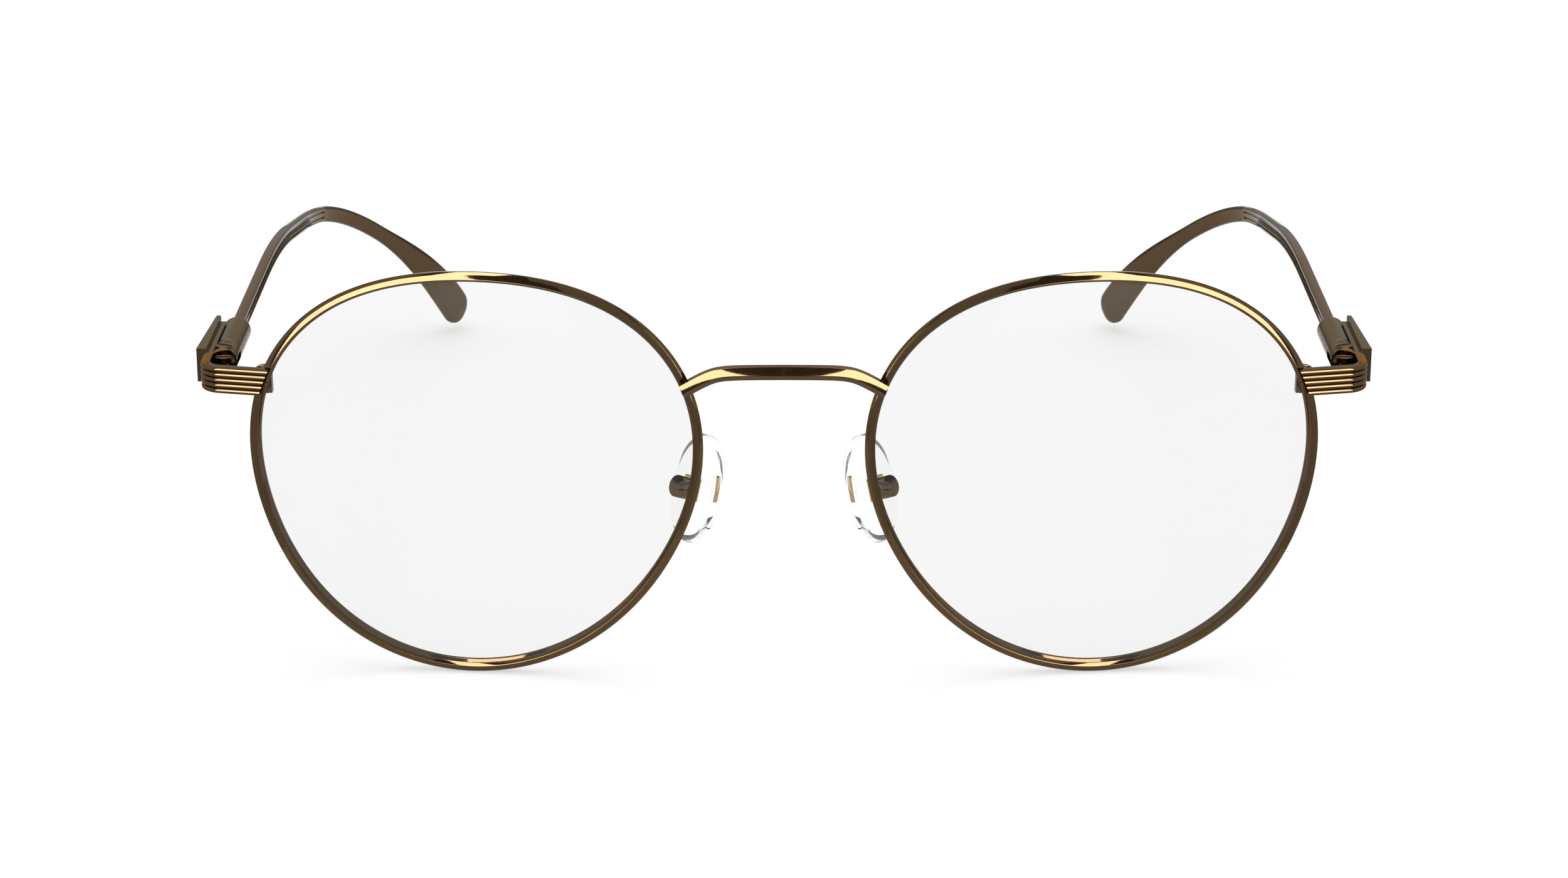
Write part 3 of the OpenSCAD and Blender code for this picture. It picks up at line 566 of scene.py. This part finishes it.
def band_ring(turned, beyond):
    """The band's profile, turned about the bend's middle and moved on along the band."""
    radius = band_bend + profile[:, 0]
    x = bend_x + radius * math.cos(turned) - beyond * math.sin(turned)
    y = bend_y + radius * math.sin(turned) + beyond * math.cos(turned)
    return np.stack([x, y, band_rim[2] + profile[:, 1]], axis=-1)


bend_start = band_sweep - math.pi / 2
band_rings = [band_ring(bend_start, -s) for s in np.linspace(band_run + rim_w, 0.0, 12)]
band_rings += [band_ring(turned, 0.0) for turned in np.linspace(bend_start, 0.0, 40)[1:]]
band_rings += [band_ring(0.0, s) for s in np.linspace(0.0, band_lead, 5)[1:]]
band_faces = ring_faces(len(band_rings), len(profile))
add_pair("end_piece", np.concatenate(band_rings), band_faces, "ribbed_band", sharp_degrees=60,
         cutter=opening(rim_w * rim_bare))

# %% [markdown]
# ## Temples
# A temple is a flat wire bar that runs straight back, dips slightly and then bends down and in behind the
# ear. Two grooves are milled along each side and end in round noses just before the tip. The acetate tip
# is pushed over the bar's wire core and swells into a paddle. Both follow one path, found by adding up
# small steps along its direction.

# %% Path of a temple
pin_back, hinge_up = 1.5, 1.0
temple_len = 143.0
dip_start, dip_run, dip_angle = 36.0, 25.0, math.radians(10.75)
ear_start, ear_drop = 86.0, math.radians(39.5)
turn_start, turn_run, ear_turn = 76.5, 43.5, math.radians(26)
tip_start = 90.0
path_s = np.linspace(0.0, temple_len, 1161)
path_from = np.array([hinge_x, bend_y + band_lead + pin_back, band_rim[2] + hinge_up])


def directions(s):
    """Direction, inward side and upward side of the path."""
    pitch = dip_angle * np.clip((s - dip_start) / dip_run, 0, 1)
    pitch = pitch + ear_drop * np.clip((s - ear_start) / (temple_len - ear_start), 0, 1)
    yaw = ear_turn * np.clip((s - turn_start) / turn_run, 0, 1)
    along = np.stack([-np.sin(yaw) * np.cos(pitch), np.cos(yaw) * np.cos(pitch), -np.sin(pitch)], axis=-1)
    side = np.stack([-np.cos(yaw), -np.sin(yaw), 0 * yaw], axis=-1)
    return along, side, np.cross(along, side)


path_steps = directions((path_s[1:] + path_s[:-1]) / 2)[0] * (path_s[1] - path_s[0])
path_points = np.concatenate([[path_from], path_from + np.cumsum(path_steps, axis=0)])


def path_ring(s, section):
    """A section placed across the path, a distance along it."""
    middle = np.array([np.interp(s, path_s, path_points[:, axis]) for axis in range(3)])
    along, side, up = directions(np.float64(s))
    return middle + section[:, :1] * side + section[:, 1:] * up


print("temple ends at", path_points[-1].round(1), "mm")

# %% Temple bars
bar_thick, bar_tall = 1.3, 2.2
bar_groove, groove_half, bar_crease, bar_edge = 0.2, 0.14, 0.1, 0.28
bar_start = 10.7
groove_short, groove_nose = 0.4, 0.5
groove_end = tip_start - groove_short
groove_at = bar_tall / 6


def bar_section(groove):
    """Section of the bar with grooves of a given depth."""
    side, top = bar_thick / 2, bar_tall / 2
    corner = np.radians(np.arange(0, 91, 15))
    rounded = [
        (side - bar_edge * (1 - math.sin(a)), top - bar_crease - bar_edge * (1 - math.cos(a)))
        for a in corner]
    flank = [(0.0, top)] + rounded
    for at in (groove_at, -groove_at):
        dip = np.radians(np.arange(-90, 91, 30))
        flank += [(side - groove * math.cos(a), at - groove_half * math.sin(a)) for a in dip]
    flank += [(x, -y) for x, y in rounded[::-1]]
    flank = np.array(flank)
    return np.concatenate([flank, -flank])


bar_s = np.concatenate([
    np.linspace(bar_start, groove_end - groove_nose, 100),
    groove_end - groove_nose * (1 - np.sin(np.radians(np.arange(15, 91, 15)))),
    [tip_start]])
nose = np.clip((groove_end - bar_s) / groove_nose, 0, 1)
bar_depths = bar_groove * np.sqrt(1 - (1 - nose) ** 2)
bar_rings = [path_ring(s, bar_section(depth)) for s, depth in zip(bar_s, bar_depths)]
bar_faces = ring_faces(len(bar_rings), len(bar_rings[0]))
add_pair("temple_bar", np.concatenate(bar_rings), bar_faces, "grooved_bar", sharp_degrees=50)

# %% Temple tips
tip_tall, tip_thick, tip_lift = 5.2, 2.7, 0.2
swell_start = 113.0
tip_cap, tip_squareness = tip_tall / 2, 0.8
tip_around = np.radians(np.arange(0, 360, 7.5))
tip_body = temple_len - tip_cap
tip_s = np.concatenate([
    np.linspace(tip_start, tip_body, 90),
    tip_body + tip_cap * np.sin(np.radians(np.arange(5, 90, 5)))])
tip_rings = []
for s in tip_s:
    share = np.clip((s - swell_start) / (tip_body - swell_start), 0, 1)
    swell = share * share * (3 - 2 * share)
    closed = math.sqrt(1 - max(0.0, (s - tip_body) / tip_cap) ** 2)
    thick = closed * (bar_thick + (tip_thick - bar_thick) * swell) / 2
    tall = closed * (bar_tall + (tip_tall - bar_tall) * swell) / 2
    section = np.stack([
        thick * signed_power(np.sin(tip_around), tip_squareness),
        tip_lift * swell + tall * signed_power(np.cos(tip_around), tip_squareness)], axis=-1)
    tip_rings.append(path_ring(s, section))
add_pair("temple_tip", np.concatenate(tip_rings), ring_faces(len(tip_rings), len(tip_around)), "acetate")

# %% [markdown]
# ## Hinges, closing blocks and screws
# These pieces are turned and milled, so their solids already have true flats and cylinders. What they lack
# is the rounding of a tenth of a millimetre that tumbling leaves on every edge, and that rounding is what
# catches the light. Each solid is copied, its flat faces are joined up again, and a bevel rounds its edges.
# Normals weighted by area then keep the large faces flat in their reflections.

# %% Small machined pieces
edge_rounding = {
    "closing_block_upper": 0.12,
    "closing_block_lower": 0.12,
    "closing_screw": 0.05,
    "hinge_block": 0.12,
    "hinge_screw": 0.05,
    "temple_housing": 0.12,
    "pad_box": 0.12,
    "pad_screw": 0.05,
    "pad_insert": 0.06,
}


def rounded_copy(node, rounding_mm):
    """A copy of a solid with its edges rounded."""
    piece = bpy.data.objects.new(f"{node}_rounded", frame["nodes"][node].data.copy())
    bpy.context.scene.collection.objects.link(piece)
    shell = bmesh.new()
    shell.from_mesh(piece.data)
    bmesh.ops.remove_doubles(shell, verts=shell.verts, dist=0.001 * MM)
    bmesh.ops.dissolve_limit(shell, angle_limit=math.radians(0.5), verts=shell.verts, edges=shell.edges)
    shell.to_mesh(piece.data)
    shell.free()
    piece.data.shade_smooth()
    bevel = piece.modifiers.new("rounding", "BEVEL")
    bevel.width = rounding_mm * MM
    bevel.segments = 3
    bevel.limit_method = "ANGLE"
    bevel.angle_limit = math.radians(35)
    bake_modifiers(piece)
    piece.data.set_sharp_from_angle(angle=math.radians(30))
    flatten = piece.modifiers.new("flat_faces", "WEIGHTED_NORMAL")
    flatten.keep_sharp = True
    flatten.weight = 100
    bake_modifiers(piece)
    return finish_piece(piece, node, sharp_degrees=None)


for name, rounding_mm in edge_rounding.items():
    for side in SIDES:
        rounded_copy(f"{name}_{side}", rounding_mm)
print("rounded pieces:", 2 * len(edge_rounding))

# %% [markdown]
# ## Nose pads and their arms
# Each pad is a small silicone cushion, moulded round a metal insert. The insert's tab rocks on a screw in
# a round box, and a bent wire carries the box from the back of the rim.

# %% Nose pads
pad_spread, pad_back, pad_below = 20.2, 7.5, 3.4
pad_len, pad_w, pad_thick = 13.0, 8.0, 2.4
pad_splay, pad_lean = math.radians(40), math.radians(16)
pad_pivot, pad_dome, pad_squareness = 1.15, 0.4, 0.9
pad_at = np.array([pad_spread / 2, pad_back, lens_middle[2] - pad_below])


def in_pad(local):
    """Points in a pad's frame, in the frame of the whole front."""
    lean = np.array([
        [math.cos(pad_lean), 0, math.sin(pad_lean)],
        [0, 1, 0],
        [-math.sin(pad_lean), 0, math.cos(pad_lean)]])
    turned = math.pi - pad_splay
    splay = np.array([
        [math.cos(turned), -math.sin(turned), 0],
        [math.sin(turned), math.cos(turned), 0],
        [0, 0, 1]])
    return np.asarray(local) @ (splay @ lean).T + pad_at


pad_around = np.radians(np.arange(0, 360, 5))
pad_rings = []
for a in np.radians(np.arange(1, 180, 4)):
    wide = math.sin(a) ** pad_dome
    ring = np.stack([
        np.full(len(pad_around), -math.cos(a) * pad_thick / 2),
        wide * pad_w / 2 * signed_power(np.sin(pad_around), pad_squareness),
        wide * pad_len / 2 * signed_power(np.cos(pad_around), pad_squareness)], axis=-1)
    pad_rings.append(in_pad(ring))
pad_faces = ring_faces(len(pad_rings), len(pad_around))
pads = add_pair("nose_pad", np.concatenate(pad_rings), pad_faces, "silicone")
for pad in pads:
    pad.visible_shadow = False

# %% Pad arms
arm_join, arm_d, arm_reach, arm_tail, arm_seat = -1.4, 1.1, 2.0, 1.3, 0.2
box_rear, box_wall = 0.95, 0.2
pivot_x = -pad_thick / 2 - pad_pivot
pivot_at = in_pad([pivot_x, 0.0, 0.0])
arm_foot = rim_point(angle_at(arm_join, nose_side), rim_middle, rim_d / 2 - arm_seat)
arm_curve = [arm_foot, arm_foot + [0, arm_reach, 0], in_pad([pivot_x - arm_tail, 0.0, 0.0]), pivot_at]


def arm_at(u):
    """A point on the arm's curve, a share of the way from the rim to the box."""
    weights = [(1 - u) ** 3, 3 * u * (1 - u) ** 2, 3 * u ** 2 * (1 - u), u ** 3]
    return sum(weight * point for weight, point in zip(weights, arm_curve))


arm_around = np.radians(np.arange(0, 360, 15))
arm_shares = np.linspace(0.0, 1.0, 400)
arm_left = np.array([np.linalg.norm(arm_at(u) - pivot_at) for u in arm_shares])
arm_end = arm_shares[np.argmax(arm_left < box_rear - box_wall / 2)]
arm_rings = []
for u in np.linspace(0.0, arm_end, 40):
    along = arm_at(u + nudge) - arm_at(u - nudge)
    along /= np.linalg.norm(along)
    side = np.cross(along, (1, 0, 0))
    side /= np.linalg.norm(side)
    up = np.cross(along, side)
    ring = arm_at(u) + arm_d / 2 * (np.sin(arm_around)[:, None] * up + np.cos(arm_around)[:, None] * side)
    arm_rings.append(ring)
add_pair("pad_arm", np.concatenate(arm_rings), ring_faces(len(arm_rings), len(arm_around)), "bent_wire")

# %% [markdown]
# ## Floor and light
# The photograph has a plain white ground. The floor is matt white and keeps the shadow, and the rays that
# see it directly, in a mirror or through glass get some extra glow, so that it reads as white paper. One
# soft lamp overhead gives the shadow.

# %% World and floor
floor_half = 3.0
scene_world = bpy.data.worlds.new("white_studio")
bpy.context.scene.world = scene_world
scene_world.use_nodes = True
world_tree = scene_world.node_tree
world_tree.nodes.clear()
fill_light, seen_light = 0.6, 1.0


def seen_rays(tree):
    """1 for rays that show the background: from the camera, from a mirror or through glass."""
    rays = add_node(tree, "ShaderNodeLightPath")
    mirrored = add_node(tree, "ShaderNodeMath", {"operation": "MAXIMUM"}, {
        0: rays.outputs["Is Camera Ray"], 1: rays.outputs["Is Glossy Ray"]})
    seen = add_node(tree, "ShaderNodeMath", {"operation": "MAXIMUM"}, {
        0: mirrored.outputs["Value"], 1: rays.outputs["Is Transmission Ray"]})
    return seen.outputs["Value"]


world_strength = add_node(world_tree, "ShaderNodeMapRange", {}, {
    "Value": seen_rays(world_tree), "To Min": fill_light, "To Max": seen_light})
sky = add_node(world_tree, "ShaderNodeBackground", {}, {
    "Color": (1, 1, 1, 1), "Strength": world_strength.outputs["Result"]})
add_node(world_tree, "ShaderNodeOutputWorld", {}, {"Surface": sky.outputs["Background"]})

floor_glow = 0.55
floor_material, floor_tree = new_material("white_paper")
paper = add_node(floor_tree, "ShaderNodeBsdfDiffuse", {}, {"Color": linear("C8C8C8")})
glow_strength = add_node(floor_tree, "ShaderNodeMath", {"operation": "MULTIPLY"}, {
    0: seen_rays(floor_tree), 1: floor_glow})
glow = add_node(floor_tree, "ShaderNodeEmission", {}, {
    "Color": (1, 1, 1, 1), "Strength": glow_strength.outputs["Value"]})
both = add_node(floor_tree, "ShaderNodeAddShader", {}, {
    0: paper.outputs["BSDF"], 1: glow.outputs["Emission"]})
add_node(floor_tree, "ShaderNodeOutputMaterial", {}, {"Surface": both.outputs["Shader"]})
corners = [(-1, -1, 0), (1, -1, 0), (1, 1, 0), (-1, 1, 0)]
floor = new_object("floor", np.array(corners) * (floor_half, floor_half, 0.0), [(0, 1, 2, 3)])
floor.data.materials.append(floor_material)

# %% Lamps
lamp_data = bpy.data.lights.new("overhead_softbox", "AREA")
lamp_data.shape = "SQUARE"
lamp_size, lamp_height, lamp_watts = 1.2, 1.2, 5.0
lamp_data.size = lamp_size
lamp_data.energy = lamp_watts
lamp = bpy.data.objects.new("overhead_softbox", lamp_data)
lamp.location = (0.0, 0.0, lamp_height)
lamp.visible_camera = False
lamp.visible_glossy = False
bpy.context.scene.collection.objects.link(lamp)
print("lamp:", lamp_watts, "W")

# %% [markdown]
# ## Reflections
# A polished frame is lit by what it mirrors, so photographers put dark and bright cards round the object,
# just outside the picture. Here a dark tent stands in front with a bright card on each side of it, which
# draws the golden bands on the rims. A grey divider between the lenses keeps each side's card out of the
# other side, a card that darkens towards the floor stands behind the temples, and mats on the floor tone
# down what the rims and the bridge mirror from below. Two more cards are seen only through the clear nose
# pads, and draw the grey lines at their edges. The camera sees none of the cards.

# %% Kinds of card
card_lift = 1 * MM
dome_steps = 16


def card_material(name, brightness):
    """Paper that glows evenly."""
    material, tree = new_material(name)
    light = add_node(tree, "ShaderNodeEmission", {}, {"Color": (1, 1, 1, 1), "Strength": brightness})
    add_node(tree, "ShaderNodeOutputMaterial", {}, {"Surface": light.outputs["Emission"]})
    return material


def add_card(name, points, faces, material, in_mirrors=True, through_glass=False):
    """A card that the camera doesn't see, only mirrors or clear pieces."""
    card = new_object(name, points, faces)
    card.data.materials.append(material)
    card.visible_camera = False
    card.visible_diffuse = False
    card.visible_shadow = False
    card.visible_glossy = in_mirrors
    card.visible_transmission = through_glass
    return card


def flat_card(name, corner, opposite, material, in_mirrors=True, through_glass=False):
    """A flat card between two opposite corners; one of its three extents is zero."""
    (x, y, z), (far_x, far_y, far_z) = corner, opposite
    if far_z == z:
        points = [(x, y, z), (far_x, y, z), (far_x, far_y, z), (x, far_y, z)]
    else:
        points = [(x, y, z), (far_x, far_y, z), (far_x, far_y, far_z), (x, y, far_z)]
    return add_card(name, points, [(0, 1, 2, 3)], material, in_mirrors, through_glass)


def tent_point(radius, azimuth, elevation):
    """A point on a dome round the frame's front: azimuth 0 is ahead, and the wearer's left is positive."""
    azimuth, elevation = math.radians(azimuth), math.radians(elevation)
    level = radius * math.cos(elevation)
    offset = Vector((level * math.sin(azimuth), -level * math.cos(azimuth), radius * math.sin(elevation)))
    return aim + offset


def dome_card(name, radius, elevations, starts, stops, material, through_glass=False):
    """A patch of the dome that runs, at each elevation, from one azimuth to another."""
    points, faces = [], []
    for elevation in np.linspace(elevations[0], elevations[-1], dome_steps + 1):
        start = np.interp(elevation, elevations, starts)
        stop = np.interp(elevation, elevations, stops)
        azimuths = np.linspace(start, stop, dome_steps + 1)
        points += [tent_point(radius, azimuth, elevation) for azimuth in azimuths]
    row = dome_steps + 1
    for i in range(dome_steps):
        for j in range(dome_steps):
            corner = i * row + j
            faces.append((corner, corner + 1, corner + row + 1, corner + row))
    return add_card(name, points, faces, material, through_glass=through_glass)


# %% Card papers
dark_card = card_material("dark_card", 0.22)
grey_card = card_material("grey_card", 0.75)
pad_card = card_material("pad_card", 0.22)
black_card = card_material("black_card", 0.12)
bright_card = card_material("bright_card", 14.5)

shade_height, shade_low, shade_high = 130 * MM, 0.25, 1.0
shaded_card, shaded_tree = new_material("shaded_card")
shaded_place = add_node(shaded_tree, "ShaderNodeNewGeometry")
shaded_axes = add_node(shaded_tree, "ShaderNodeSeparateXYZ", {}, {
    "Vector": shaded_place.outputs["Position"]})
shade = add_node(shaded_tree, "ShaderNodeMapRange", {}, {
    "Value": shaded_axes.outputs["Z"], "From Min": 0.0, "From Max": shade_height,
    "To Min": shade_low, "To Max": shade_high})
shaded_light = add_node(shaded_tree, "ShaderNodeEmission", {}, {
    "Color": (1, 1, 1, 1), "Strength": shade.outputs["Result"]})
add_node(shaded_tree, "ShaderNodeOutputMaterial", {}, {"Surface": shaded_light.outputs["Emission"]})

# %% Cards in front, behind and on the floor
tent_radius, card_radius = 400 * MM, 340 * MM
tent_elevations, tent_half = (-4, 88), 58
dome_card("dark_tent", tent_radius, tent_elevations, (-tent_half, -tent_half), (tent_half, tent_half),
          dark_card, through_glass=True)

card_elevations = (-4.5, 20, 60, 78)
card_starts = np.array([3, 19, 27, 12])
card_stops = np.array([55, 53, 50, 50])
for side, sign in SIDES.items():
    dome_card(f"bright_card_{side}", card_radius, card_elevations, sign * card_starts, sign * card_stops,
              bright_card)

divider_near, divider_far, divider_top = front_y - 12 * MM, front_y - 420 * MM, 400 * MM
flat_card("grey_divider", (0, divider_near, card_lift), (0, divider_far, divider_top), grey_card)

back_elevations, back_start, back_stop = (-4, 20), 120, 240
dome_card("shaded_back", tent_radius, back_elevations, (back_start, back_start), (back_stop, back_stop),
          shaded_card)

side_mat_start, side_mat_end = 74 * MM, 320 * MM
side_mat_near, side_mat_far = front_y - 150 * MM, front_y + 90 * MM
for side, sign in SIDES.items():
    flat_card(f"grey_mat_{side}", (sign * side_mat_start, side_mat_near, card_lift),
              (sign * side_mat_end, side_mat_far, card_lift), grey_card)

front_mat_half, front_mat_near, front_mat_far = 150 * MM, front_y - 55 * MM, front_y - tent_radius
flat_card("dark_mat", (-front_mat_half, front_mat_near, card_lift),
          (front_mat_half, front_mat_far, card_lift), dark_card)

# %% Cards seen through the nose pads
pad_mat_half, pad_mat_near, pad_mat_far = 10 * MM, front_y + 25 * MM, front_y + 45 * MM
flat_card("grey_mat_under_pads", (-pad_mat_half, pad_mat_near, card_lift),
          (pad_mat_half, pad_mat_far, card_lift), pad_card, in_mirrors=False, through_glass=True)
wall_half, wall_y, wall_top = 85 * MM, front_y + 180 * MM, 120 * MM
flat_card("dark_wall_behind_pads", (-wall_half, wall_y, card_lift), (wall_half, wall_y, wall_top),
          black_card, in_mirrors=False, through_glass=True)
